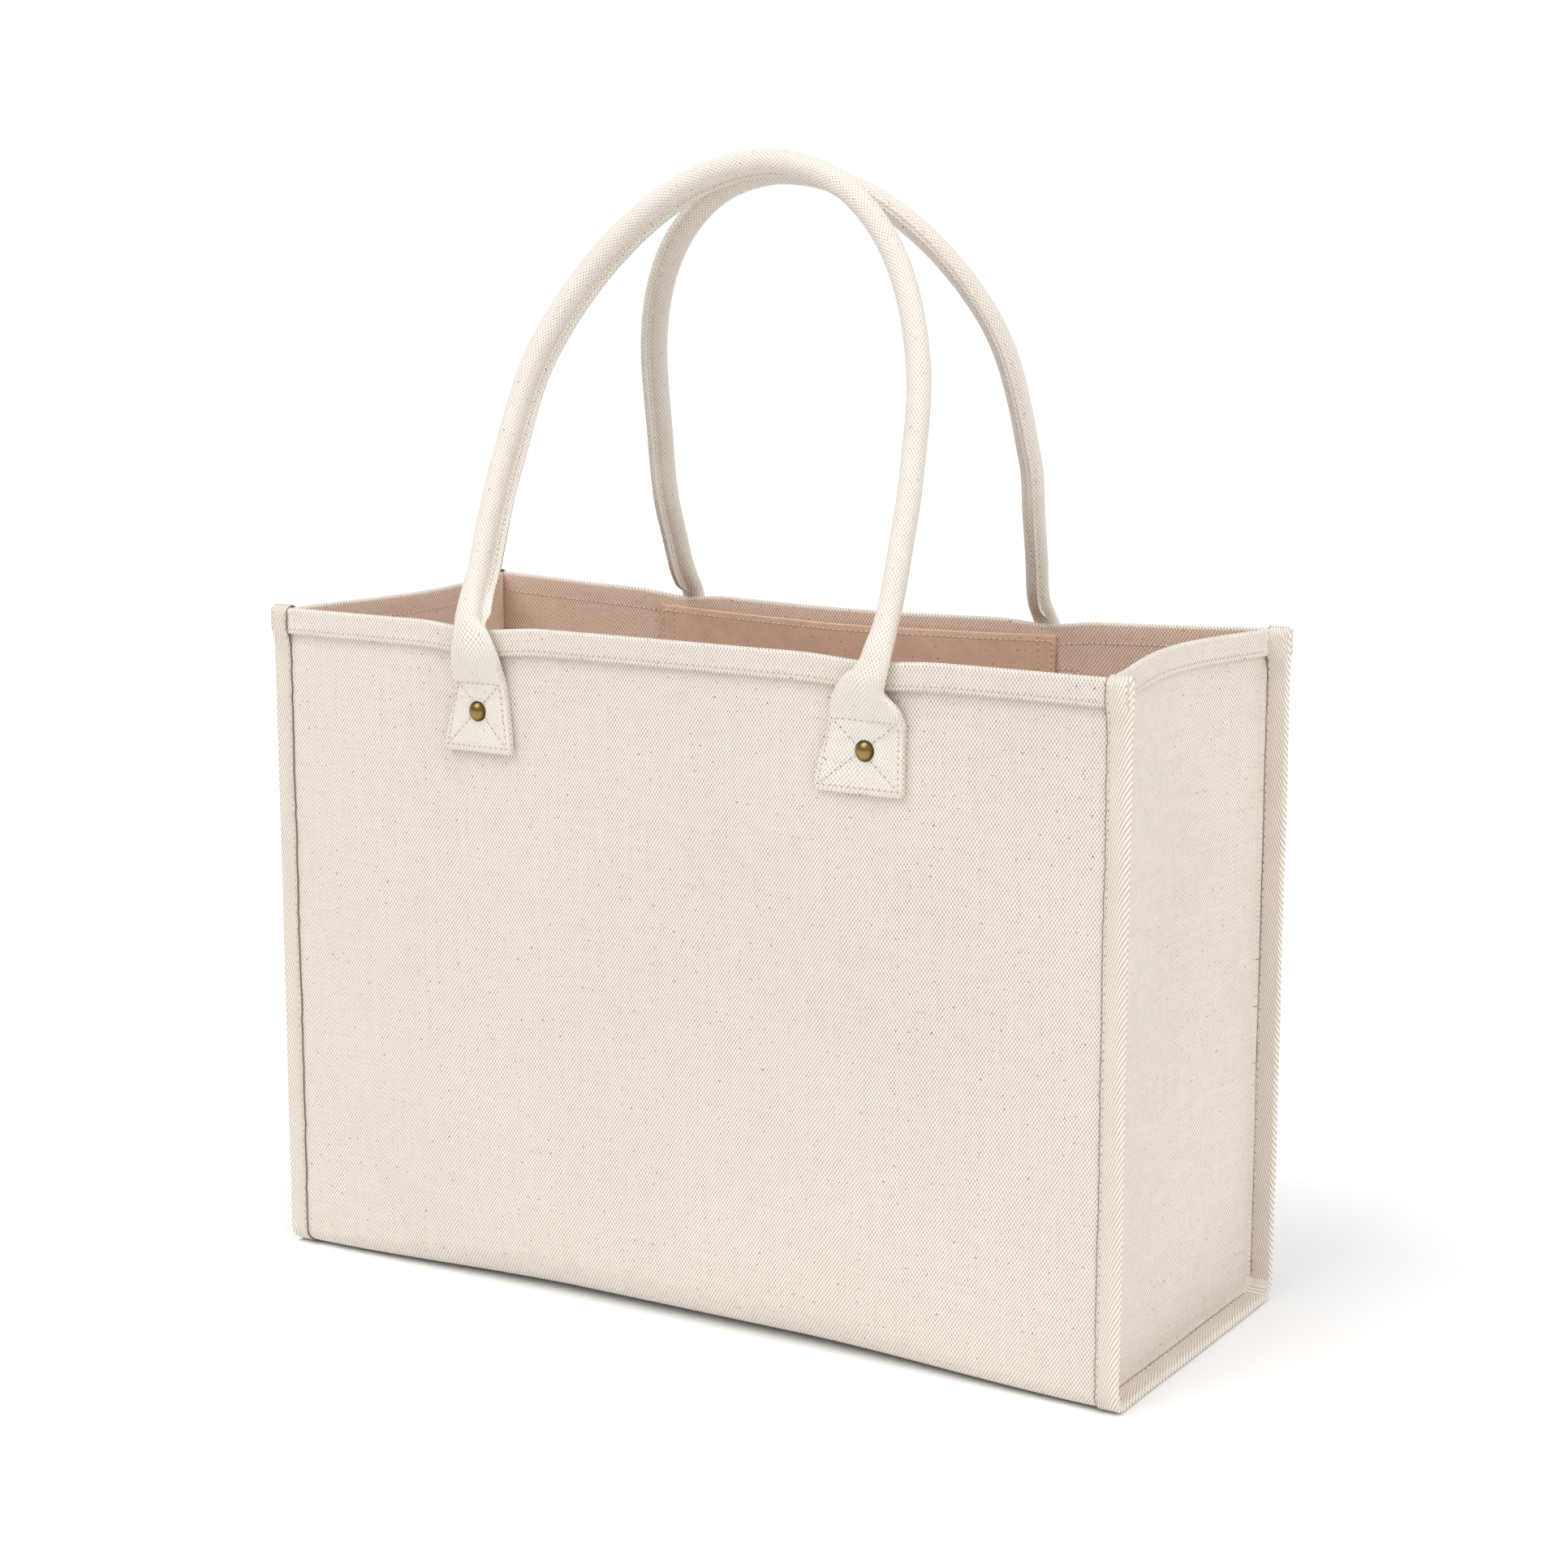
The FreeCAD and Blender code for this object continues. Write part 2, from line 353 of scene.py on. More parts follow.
for warp_share, weft_share in ((1.6, 0.05), (0.05, 1.6)):
    stretched = tree.nodes.new("ShaderNodeCombineXYZ")
    feed(stretched, "X", math_node(tree, "MULTIPLY", warp, warp_share))
    feed(stretched, "Y", math_node(tree, "MULTIPLY", weft, weft_share))
    slubs.append(noise_node(tree, stretched.outputs[0], 1.0, 1))
tree.links.new(math_node(tree, "MULTIPLY", math_node(tree, "ADD", *slubs), 0.5), results["Slub"])

# Seed flecks: bits of husk left in unbleached cotton
tree, given, results = shade_group("seed flecks", ("Spacing", "Size", "Share"), ("Mask",))
seed_flecks = tree
wobble = vector_node(tree, "SUBTRACT", noise_node(tree, given["Cloth"], 900, 2, "Color"), middle_gray)
wobble = vector_node(tree, "MULTIPLY", wobble, (1.3 * mm, 0.9 * mm, 0))
cells = tree.nodes.new("ShaderNodeTexVoronoi")
cells.voronoi_dimensions = "2D"
feed(cells, "Vector", vector_node(tree, "ADD", given["Cloth"], wobble))
feed(cells, "Scale", math_node(tree, "DIVIDE", 1.0, given["Spacing"]))
chance = tree.nodes.new("ShaderNodeSeparateColor")
feed(chance, 0, cells.outputs["Color"])
chosen = math_node(tree, "LESS_THAN", chance.outputs["Red"], given["Share"])
radius = math_node(
    tree, "MULTIPLY", math_node(tree, "DIVIDE", given["Size"], given["Spacing"]),
    math_node(tree, "MULTIPLY_ADD", chance.outputs["Green"], 0.8, 0.25),
)
inside = math_node(tree, "SUBTRACT", 1.0, math_node(tree, "DIVIDE", cells.outputs["Distance"], radius))
clamped = tree.nodes.new("ShaderNodeClamp")
feed(clamped, "Value", math_node(tree, "MULTIPLY", inside, 3.0))
tree.links.new(math_node(tree, "MULTIPLY", clamped.outputs[0], chosen), results["Mask"])

# Flecks of both sizes: spacing, size, strength and colour
husks = (
    (3.1 * mm, 0.5 * mm, 0.4, (0.42, 0.27, 0.16, 1)),
    (5.5 * mm, 0.42 * mm, 0.75, (0.10, 0.06, 0.035, 1)),
)


def natural_cloth(
    name, yarn, gap, warp_pitch=1.60 * mm, weft_pitch=2.35 * mm, relief=0.34 * mm,
    wander=0.35 * mm, flecks=0.5, mottling=0.11,
):
    """Unbleached cotton cloth that follows the piece's own cloth map."""
    material, tree, shader = new_material(name)
    cloth = cloth_map(tree)
    place = object_place(tree)
    weave = use_group(
        tree, plain_weave, Cloth=cloth, Warp_Pitch=warp_pitch, Weft_Pitch=weft_pitch, Wander=wander
    )
    thick = math_node(tree, "MULTIPLY", weave["Slub"], 0.3)
    yarn_share = math_node(tree, "MULTIPLY_ADD", weave["Height"], 1.2, thick)
    color = mix_colors(tree, math_node(tree, "SUBTRACT", yarn_share, 0.25), gap, yarn)
    clouds = math_node(tree, "MULTIPLY_ADD", noise_node(tree, place, 9, 3), 0.14, 0.872)
    mottle = math_node(tree, "MULTIPLY", noise_node(tree, place, 160, 3), mottling)
    color = toned(tree, color, math_node(tree, "ADD", clouds, mottle))
    for spacing, size, strength, husk in husks:
        fleck = use_group(tree, seed_flecks, Cloth=cloth, Spacing=spacing, Size=size, Share=flecks)
        color = mix_colors(tree, math_node(tree, "MULTIPLY", fleck["Mask"], strength), color, husk)
    fuzz = math_node(tree, "MULTIPLY", noise_node(tree, cloth, 2600, 2), 0.4)
    uneven = math_node(tree, "MULTIPLY_ADD", weave["Slub"], 0.25, fuzz)
    raise_yarns(tree, shader, math_node(tree, "ADD", weave["Height"], uneven), relief)
    rough = math_node(tree, "MULTIPLY_ADD", weave["Slub"], 0.14, 0.82)
    settle(shader, Base_Color=color, Roughness=rough)
    settle(shader, Specular_IOR_Level=0.22, Sheen_Weight=0.12, Sheen_Roughness=0.55)
    return material


body_canvas = natural_cloth("natural canvas", (0.920, 0.870, 0.810, 1), (0.420, 0.305, 0.225, 1))
# The canvas's inside faces take a darker, warmer copy of the same cloth: painted shade of the bag's inside,
# warmed as by light bounced off the canvas.
inner_canvas_painted_shade = natural_cloth("natural canvas inside with painted shade", (0.950, 0.775, 0.635, 1), (0.420, 0.255, 0.165, 1))
cloth_faces = [body_canvas, inner_canvas_painted_shade, body_canvas]


def back_slack(x):
    """How far the back's rim hangs below its height, most at its middle."""
    return 5.0 * mm * max(0.0, 1 - (x / seam_line) ** 2)


def rim_dip(x, side):
    """How far the rim hangs below its height: pressed down by the handles, and slack at the back."""
    if side < 0:
        return 2.3 * mm * bump(x + leg_x, 34 * mm) + 1.7 * mm * bump(x - leg_x, 34 * mm)
    return back_slack(x) + 2.0 * mm * bump(abs(x) - leg_x, 26 * mm)


def hang(up):
    """Share of the rim's dip that the wall takes at a height: none low down, all of it at the rim."""
    return smooth((up - 190 * mm) / (100 * mm))


def wall_swell(x, up, side):
    """How far the wall stands out of its plane: soft waves, held flat at the seams, tabs and hem."""
    held = smooth((seam_line - abs(x)) / (38 * mm)) * smooth((up - 6 * mm) / (45 * mm))
    loose = 1 - bump(abs(x) - leg_x, 30 * mm) * smooth((up - 205 * mm) / (28 * mm))
    wave = noise.noise(Vector((x * 9.5, up * 7.0, 3.1 * side))) * 3.0 * mm
    ripple = noise.noise(Vector((x * 26, up * 15 + x * 9, 7.7 * side))) * 0.7 * mm
    belly = -1.6 * mm * bump(x, 190 * mm) * bump(up - 150 * mm, 150 * mm)
    slack = -4.5 * mm * bump(x, 88 * mm) * smooth((up - 200 * mm) / (100 * mm)) if side > 0 else 0
    near_rim = 1 - 0.75 * smooth((up - 255 * mm) / (45 * mm))
    return held * loose * ((wave + ripple) * near_rim + belly) + slack * loose


wall_at = half_depth - canvas / 2


def strip_half(x, side):
    """Points (y, z) of one half of the strip at x, from its hidden raw edge to the base's middle."""
    roll = roll_at_seam + (roll_at_middle - roll_at_seam) * smooth((seam_line - abs(x)) / (150 * mm))
    roll_radius = roll - canvas / 2
    base_at = base_lift + canvas / 2
    points = hem_profile(wall_at, base_lift + roll)
    points += arc((wall_at - roll_radius, base_at + roll_radius), roll_radius, 0, -90, 9)
    points += straight((wall_at - roll_radius, base_at), (0, base_at), base_rows)
    points.append(Vector((0, base_at)))
    settled = []
    for out, up in points:
        swell = wall_swell(x, up, side) if out > half_depth - 30 * mm else 0
        sag = -0.55 * mm * bump(x, 180 * mm) * bump(out, 70 * mm)
        settled.append(Vector((side * (out + swell), up - rim_dip(x, side) * hang(up) + sag)))
    return settled


strip_lines = []
for column in range(strip_columns + 1):
    x = allowance_end * (2 * column / strip_columns - 1)
    line = strip_half(x, -1) + strip_half(x, 1)[-2::-1]
    strip_lines.append((x, line, lengths_along(line)))


def strip_place(column, row):
    x, line, runs = strip_lines[column]
    return Vector((x, line[row].x, line[row].y)), (x, runs[row])


strip_rows = len(strip_lines[0][1]) - 1
hem_rows = 22                       # from the raw edge over the top of the rim


def turn_hem_over(bm, faces_per_row, rows, both_ends):
    """Marks the hem's faces: there the cloth's other side shows, so its outer face takes the wall's colour,
    not the inside copy with painted shade.
    """
    for index, face in enumerate(bm.faces):
        row = index // faces_per_row
        if row < hem_rows or (both_ends and row >= rows - hem_rows):
            face.material_index = 1


bm = cloth_grid(strip_columns, strip_rows, strip_place)
turn_hem_over(bm, strip_columns, strip_rows, True)
bmesh.ops.reverse_faces(bm, faces=bm.faces)
body = piece_from(bm, "body_canvas", "bag", cloth_faces)
thicken(body, canvas)
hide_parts("body_panel")

# Gussets
# One canvas piece closes each end, hemmed to the outside at the rim. Its three other edges turn
# outward against the body panel's, and the wall draws in between the seams, most at the rim.
seam_at = half_depth - canvas - layer + canvas / 2      # middle of the turned edge, from the bag's middle
fold_radius = 3.2 * mm
gusset_wall = seam_line - canvas / 2
gusset_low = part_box("gusset_right")[0]
rim_bow = seam_line - gusset_low.x - canvas
gusset_columns = 34
corner_radius = roll_at_seam - 2 * canvas
gusset_reach = seam_at - fold_radius                    # flat wall, before its edge turns outward
gusset_foot = base_lift + canvas + layer - canvas / 2 + fold_radius
gusset_corner_y = gusset_reach - corner_radius
gusset_corner_z = gusset_foot + corner_radius
fold_steps = (30, 60, 90)
sort_along = Vector((0.31, 1.7, 7.3))                   # gives the folds' faces one order in every run
ends = ((-1, "left"), (1, "right"))


def gusset_bow(y, up, end):
    """How far the wall stands in from the seam line."""
    share = (y / seam_at + 1) / 2
    lean = 1.18 if end > 0 else 1.08
    shape = math.sin(math.pi * min(max(share, 0.0), 1.0) ** lean)
    depth = 0.84 * rim_bow * (0.10 + 0.90 * smooth(up / rim) ** 0.8)
    return depth * shape ** 1.2


def gusset_swell(y, up, end):
    """Small hollows and folds of the gusset wall, inward positive."""
    held = smooth((seam_at - abs(y)) / (16 * mm)) * smooth(up / (30 * mm))
    loose = 1 - 0.8 * smooth((up - 270 * mm) / (25 * mm))
    wave = noise.noise(Vector((y * 18, up * 11, 5.3 * end))) * 3.0 * mm
    buckle = noise.noise(Vector((y * 14 + up * 8, up * 32, 9.1 * end))) * 2.1 * mm
    low = bump(up - 90 * mm, 80 * mm)
    crease = 0.9 * mm * bump(y + seam_at - 13 * mm, 7 * mm) * smooth(up / (60 * mm)) * loose
    return held * loose * (wave + buckle * (0.3 + low)) + crease


def outward_on_seam(y, up):
    """Direction, in the plane of the seam, from the gusset wall to the bag's edge."""
    if up < gusset_corner_z and abs(y) > gusset_corner_y:
        return Vector((0, y - math.copysign(gusset_corner_y, y), up - gusset_corner_z)).normalized()
    if abs(y) > gusset_reach - 0.5 * mm:
        return Vector((0, math.copysign(1, y), 0))
    return Vector((0, 0, -1))


profile = hem_profile(0, gusset_foot) + [Vector((0, gusset_foot))]
gusset_rows = len(profile) - 1
gusset_runs = lengths_along(profile)

for end, end_name in ends:
    def gusset_place(column, row):
        lift, up = profile[row]
        y = gusset_reach * (2 * column / gusset_columns - 1)
        spot = (y, gusset_runs[row])
        if abs(y) > gusset_corner_y and up < gusset_corner_z:
            corner_y = math.copysign(gusset_corner_y, y)
            to_edge = Vector((y - corner_y, up - gusset_corner_z))
            if to_edge.length > corner_radius:
                to_edge = to_edge.normalized() * corner_radius
                y = corner_y + to_edge.x
                up = gusset_corner_z + to_edge.y
        x = gusset_wall + lift - gusset_bow(y, up, end) - gusset_swell(y, up, end)
        return Vector((x, y, up)), spot

    bm = cloth_grid(gusset_columns, gusset_rows, gusset_place)
    turn_hem_over(bm, gusset_columns, gusset_rows, False)
    lifts = bm.verts.layers.float.new("lift")
    starts = bm.verts.layers.float.new("start")
    for index, vert in enumerate(bm.verts):
        vert[lifts] = profile[index // (gusset_columns + 1)].x
        vert[starts] = vert.co.x - vert[lifts]
    raw_z = profile[0].y

    def on_raw_edge(vert):
        return abs(vert.co.z - raw_z) < 0.01 * mm and vert[lifts] > 0.5 * layer

    edges = [edge for edge in bm.edges if edge.is_boundary and not all(map(on_raw_edge, edge.verts))]
    reached = 0.0
    for angle in [math.radians(step) for step in fold_steps] + [None]:
        grown = bmesh.ops.extrude_edge_only(bm, edges=edges)["geom"]
        fresh = {item for item in grown if isinstance(item, bmesh.types.BMVert)}
        edges = [
            item for item in grown
            if isinstance(item, bmesh.types.BMEdge) and item.is_boundary and set(item.verts) <= fresh
        ]
        for vert in fresh:
            arm = fold_radius - vert[lifts]
            if angle is None:
                vert.co.x = allowance_end
            else:
                vert.co += outward_on_seam(vert.co.y, vert.co.z) * arm * (math.sin(angle) - reached)
                vert.co.x = vert[starts] + fold_radius - arm * math.cos(angle)
        if angle is not None:
            reached = math.sin(angle)
    for face in bm.faces:
        face.smooth = True
    bm.faces.sort(key=lambda face: face.calc_center_median().dot(sort_along))
    if end < 0:
        bmesh.ops.scale(bm, vec=(-1, 1, 1), verts=bm.verts)
    else:
        bmesh.ops.reverse_faces(bm, faces=bm.faces)
    gusset = piece_from(bm, f"gusset_canvas_{end_name}", "bag", cloth_faces)
    thicken(gusset, canvas)
    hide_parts(f"gusset_{end_name}")

# Seam tapes
# Herringbone cotton tape folded over the raw edges of body panel and gusset and sewn through. It runs
# down the front seam, under the base and up the back, with its ends turned in at the rim.
tree, given, results = shade_group("herringbone", ("Pitch", "Rake", "Chevron"), ("Height", "Spine"))
herringbone = tree
spot = axes_of(tree, given["Cloth"])
across = math_node(tree, "PINGPONG", spot["Y"], given["Chevron"])
spine = math_node(tree, "DIVIDE", across, given["Chevron"])
bent = math_node(tree, "MULTIPLY", across, math_node(tree, "MULTIPLY_ADD", spine, -0.5, 1.5))
slanted = math_node(tree, "MULTIPLY_ADD", bent, given["Rake"], spot["X"])
turns = math_node(tree, "MULTIPLY", math_node(tree, "DIVIDE", slanted, given["Pitch"]), math.tau)
wave = math_node(tree, "COSINE", turns)
tree.links.new(math_node(tree, "MULTIPLY_ADD", wave, 0.5, 0.5), results["Height"])
tree.links.new(spine, results["Spine"])

tape_width = 23.5 * mm
tape_relief = 0.4 * mm
yarn_pitch = 3.0 * mm
edge_shadow = 16.0                  # how narrow the dark line along the tape's edge is
twill_tape, tree, shader = new_material("herringbone tape")
cloth = cloth_map(tree)
bones = use_group(tree, herringbone, Cloth=cloth, Pitch=yarn_pitch, Rake=2.4, Chevron=tape_width / 2)
grain = noise_node(tree, cloth, 1500, 3)
light = math_node(tree, "ADD", bones["Height"], math_node(tree, "MULTIPLY_ADD", grain, 0.55, -0.17))
color = mix_colors(tree, light, (0.560, 0.445, 0.340, 1), (0.960, 0.905, 0.830, 1))
from_edge = math_node(tree, "MINIMUM", math_node(tree, "MULTIPLY", bones["Spine"], edge_shadow), 1.0)
color = mix_colors(tree, from_edge, (0.230, 0.150, 0.100, 1), color)
clouds = noise_node(tree, object_place(tree), 30, 3)
color = toned(tree, color, math_node(tree, "MULTIPLY_ADD", clouds, 0.16, 0.90))
height = math_node(tree, "ADD", bones["Height"], math_node(tree, "MULTIPLY", grain, 0.6))
raise_yarns(tree, shader, height, tape_relief)
settle(shader, Base_Color=color, Roughness=0.88, Specular_IOR_Level=0.22, Sheen_Weight=0.12)

tape_edge = seam_line + 0.3 * mm
tape_gap = 0.1 * mm
fray_mm = 0.28                      # how uneven the tape's edges are
end_turn = 6 * mm                   # finer rows where the tape's end is turned in
end_rounding = 3.4 * mm
end_steps = 6
straight_rows = 74
base_steps = 34
corner_steps = 7


def seam_route():
    """Points (y, z) down the front, under the base and up the back, with the way out and the run."""
    inner = half_depth - roll_at_seam
    low = base_lift + roll_at_seam
    points = straight((-half_depth, rim), (-half_depth, rim - end_turn), end_steps)
    points += straight((-half_depth, rim - end_turn), (-half_depth, low), straight_rows)
    points += arc((-inner, low), roll_at_seam, 180, 270, corner_steps)
    points += straight((-inner, base_lift), (inner, base_lift), base_steps)
    points += arc((inner, low), roll_at_seam, 270, 360, corner_steps)
    points += straight((half_depth, low), (half_depth, rim - end_turn), straight_rows)
    points += straight((half_depth, rim - end_turn), (half_depth, rim), end_steps)
    points.append(Vector((half_depth, rim)))
    route = []
    for (before, point, after), run in zip(with_neighbours(points), lengths_along(points)):
        along = (after - before).normalized()
        route.append((point, Vector((along.y, -along.x)), run))
    return route


tape_route = seam_route()
tape_length = tape_route[-1][2]
leaf_steps = 7
turn_steps = 8
tape_columns = 2 * leaf_steps + turn_steps

for end, end_name in ends:
    fray = random.Random(11 + end)
    frays = [[fray.uniform(-fray_mm, fray_mm) * mm for side in range(2)] for step in tape_route]

    def tape_place(column, row):
        point, outward, run = tape_route[row]
        at_hem = smooth((point.y - (rim - 18 * mm)) / (9 * mm))
        outer_at = -(tape_cloth / 2 + tape_gap + 2 * layer * at_hem)
        inner_at = canvas + layer + tape_gap + tape_cloth / 2 + 2 * layer * at_hem
        from_end = min(run, tape_length - run)
        open_share = min(from_end / end_rounding, 1)
        closing = math.sqrt(max(0.0, 1 - (1 - open_share) ** 2))
        middle = (outer_at + inner_at) / 2
        half = (inner_at - outer_at) / 2 * closing
        lift = 0.8 * mm * (1 - open_share)
        fold_x = allowance_end - half * 0.55
        fold_depth = allowance_end + tape_cloth / 2 - fold_x
        leaf = fold_x - tape_edge
        turn_run = math.pi * math.sqrt((half ** 2 + fold_depth ** 2) / 2)
        whole = 2 * leaf + turn_run
        if column < leaf_steps:
            share = column / leaf_steps
            walked = leaf * share
            x = tape_edge + frays[row][0] * (1 - share) + (fold_x - tape_edge) * share
            inward = middle - half
        elif column <= leaf_steps + turn_steps:
            angle = math.pi * (column - leaf_steps) / turn_steps
            walked = leaf + turn_run * angle / math.pi
            x = fold_x + fold_depth * math.sin(angle)
            inward = middle - half * math.cos(angle)
        else:
            share = (tape_columns - column) / leaf_steps
            walked = whole - leaf * share
            x = tape_edge + 0.3 * mm + frays[row][1] * (1 - share) + (fold_x - tape_edge) * share
            inward = middle + half
        across = outward * -inward
        sway = 0.35 * mm * noise.noise(Vector((run * 22, column * 0.2, 4.4 * end)))
        up = point.y + across.y + (lift if point.y > rim - 4 * mm else 0)
        spot = (end * run, walked / whole * tape_width)
        return Vector((end * (x + sway), point.x + across.x, up)), spot

    bm = cloth_grid(tape_columns, len(tape_route) - 1, tape_place)
    bmesh.ops.recalc_face_normals(bm, faces=bm.faces)
    tape = piece_from(bm, f"seam_tape_{end_name}", "bag", [twill_tape])
    thicken(tape, tape_cloth)
    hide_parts(f"binding_{end_name}")

# Inner pocket
# A patch of thin unbleached cotton sewn inside the back wall at its sides and foot. Its mouth is
# turned once and stands a little off the wall.
pocket_low, pocket_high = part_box("inner_pocket")
# The pocket's cotton is coloured darker and warmer than the canvas: painted shade of the bag's inside.
pocket_cotton_painted_shade = natural_cloth(
    "pocket cotton with painted shade", (0.740, 0.520, 0.395, 1), (0.500, 0.310, 0.215, 1), 0.80 * mm, 1.00 * mm, 0.12 * mm,
    wander=0.2 * mm, flecks=0.8, mottling=0.34,
)
pocket_cloth = 0.5 * mm
pocket_turn = 9 * mm
pocket_left = pocket_low.x
pocket_right = pocket_high.x - 7 * mm
pocket_mouth = pocket_high.z + 1.2 * mm
pocket_columns = 56
pocket_rows = 38
back_surface = BVHTree.FromObject(body, bpy.context.evaluated_depsgraph_get())
look_from_mm = 14
look_reach = 40 * mm


def laid_on(surface, point, facing):
    """Where a point lies on a surface seen from the side that facing points to, and its normal."""
    hit, normal = surface.ray_cast(point + facing * look_from_mm * mm, -facing, look_reach)[:2]
    if hit is None:
        hit, normal = surface.find_nearest(point)[:2]
    if normal.dot(facing) < 0:
        normal = -normal
    return hit, normal


mouth_fold = pocket_cloth / 2 + 0.15 * mm
pocket_points = straight((2 * mouth_fold, pocket_mouth - pocket_turn), (2 * mouth_fold, pocket_mouth), 4)
pocket_points += arc((mouth_fold, pocket_mouth), mouth_fold, 0, 180, 5)
pocket_points += straight((0, pocket_mouth), (0, pocket_low.z), pocket_rows)
pocket_points.append(Vector((0, pocket_low.z)))


def pocket_place(column, row):
    behind, up = pocket_points[row]
    x = pocket_left + (pocket_right - pocket_left) * column / pocket_columns
    dip = back_slack(x) * hang(up)
    wall, normal = laid_on(back_surface, Vector((x, pocket_high.y, up - dip)), Vector((0, -1, 0)))
    high = smooth((up - pocket_low.z) / (pocket_high.z - pocket_low.z))
    slack = smooth(min(pocket_right - x, x - pocket_left) / (45 * mm))
    gape = 3.6 * mm * slack * high ** 2 * (0.75 + 0.5 * noise.noise(Vector((x * 24, up * 10, 2.2))))
    rumple = 1.1 * mm * slack * (0.5 + noise.noise(Vector((x * 30, up * 30, 8.8))))
    y = wall.y - 1.35 * mm + behind - gape - rumple
    return Vector((x, y, up - dip)), (x, up)


bm = cloth_grid(pocket_columns, len(pocket_points) - 1, pocket_place)
pocket = piece_from(bm, "pocket_patch", "bag", [pocket_cotton_painted_shade])
thicken(pocket, pocket_cloth)
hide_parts("inner_pocket")

# Handles
# Each handle and its two tabs are one cut of canvas, sewn lengthwise round a cotton rope with the
# seam standing out as a fin. Its flattened ends are folded under and box-stitched to the wall.
handle_canvas = natural_cloth(
    "handle canvas", (0.935, 0.895, 0.830, 1), (0.560, 0.460, 0.370, 1), flecks=0.3
)
tube_radius = 5.15 * mm
fin_height = 4.3 * mm
fin_half = 1.1 * mm
fin_notch = 0.9 * mm                # between the fin's two raw edges
ring_points = 64
tab_half_thickness = 1.75 * mm
quilt_depth = 0.42 * mm             # hollow drawn in by the box stitching
quilt_reach = 1.1 * mm
tab_foot = 57 * mm
tab_at = half_depth + 0.1 * mm + tab_half_thickness
tube_girth = 41 * mm                # cloth round the tube, and round the unfolded tab
tab_girth = 78 * mm

# Each edge of a tab, towards the loop's inside and outside, in mm: where it starts to flare and where
# the shoulder ends, below the rim, and half the tab's width at the shoulder and at the foot
tab_shapes = {
    "front_left": ((-3, 14, 13.8, 17.2), (-2, 28, 12.2, 18.6)),
    "front_right": ((0, 25, 17.8, 24.6), (11, 24.5, 17.6, 17.6)),
    "back_left": ((8, 25, 18.2, 19.4), (11, 26, 18.6, 18.2)),
    "back_right": ((9, 25, 18.8, 18.8), (9, 25, 17.6, 19.6)),
}

# Legs: (from the middle, out from the middle plane, above the floor), up from the tab; then the crown.
# All are in mm; the rope is pressed flattest, and wider by a share, at pressed_at below the rim.
tab_out = tab_at / mm
on_tab = ((98, tab_out, 248), (98, tab_out, 262))
handle_shapes = {
    "front": {
        "left_leg": on_tab + (
            (98, tab_out + 0.1, 277), (98.5, 88.5, 288), (99.2, 90.4, 298), (100.6, 89.2, 307),
            (102.3, 83.2, 317), (103.5, 75.6, 329), (104.2, 66.9, 350), (103.2, 57.6, 374),
        ),
        "right_leg": on_tab + (
            (98.6, tab_out + 0.1, 277), (100.8, 88.4, 288), (102.8, 89.8, 298), (103.9, 87.4, 307),
            (104.2, 81.2, 317), (103.9, 74.6, 329), (103.5, 66.4, 350), (102.7, 57.4, 374),
        ),
        "half_widths": (104.3, 104.3),
        "pressed_at": 3,
        "pressed_wider": 0.32,
        "crown": 150,
        "apex": (1.0, 505.0),
        "lean": 24.7,
        "fin_turn": (330, 315, 300),
    },
    "back": {
        "left_leg": on_tab + (
            (97.9, tab_out + 0.2, 274), (97.6, 88.0, 283), (97.0, 90.2, 291), (96.3, 89.4, 297.5),
            (95.6, 86.2, 303.5), (95.2, 81.4, 309.5), (95.3, 77.2, 317), (95.6, 72.6, 330),
            (96.1, 66.0, 350), (95.6, 61.4, 374),
        ),
        "right_leg": on_tab + (
            (97.9, tab_out + 0.2, 274), (97.6, 88.0, 283), (96.2, 90.0, 291), (94.8, 89.2, 297.5),
            (94.0, 85.8, 303.5), (94.2, 81.0, 309.5), (95.2, 77.0, 317), (96.7, 72.6, 330),
            (98.3, 66.0, 350), (98.5, 61.4, 374),
        ),
        "half_widths": (95.2, 99.0),
        "pressed_at": 8,
        "pressed_wider": 0.16,
        "crown": 128,
        "apex": (14.0, 500.1),
        "lean": 23.0,
        "fin_turn": (268, 258, 246),
    },
}
sides = (("front", -1), ("back", 1))
crown_angles = (22.5, 45.0, 67.5)
tab_step = 1.3 * mm
tube_step = 2.4 * mm


def through(points, step_at):
    """Evenly spaced points of a smooth line through a few points; step_at(point) is the spacing."""
    ways = []
    for before, point, after in with_neighbours(points):
        span = (point - before).length + (after - point).length
        ways.append((after - before) / span)
    fine = []
    for first, second, way, next_way in zip(points, points[1:], ways, ways[1:]):
        third = (second - first).length / 3
        fine += interpolate_bezier(first, first + way * third, second - next_way * third, second, 40)[:-1]
    fine.append(points[-1])
    even = [fine[0]]
    walked = 0.0
    for before, point in zip(fine, fine[1:]):
        walked += (point - before).length
        if walked >= step_at(point):
            even.append(point)
            walked = 0.0
    if (fine[-1] - even[-1]).length < 0.4 * step_at(fine[-1]):
        even.pop()
    return even + [fine[-1]]


def handle_route(side_name, side):
    shape = handle_shapes[side_name]
    lean = math.radians(shape["lean"])
    apex_out, apex_z = shape["apex"]
    halves = []
    for (end, end_name), half_width in zip(ends, shape["half_widths"]):
        half = [Vector((end * x, side * out, z)) for x, out, z in shape[f"{end_name}_leg"]]
        for angle in crown_angles:
            down = shape["crown"] * (1 - math.sin(math.radians(angle)))
            x = end * half_width * math.cos(math.radians(angle))
            out = apex_out + down * math.sin(lean)
            half.append(Vector((x, side * out, apex_z - down * math.cos(lean))))
        halves.append(half)
    left, right = halves
    points = [point * mm for point in left + [Vector((0, side * apex_out, apex_z))] + right[::-1]]
    return through(points, lambda point: tab_step if point.z < rim + 6 * mm else tube_step)


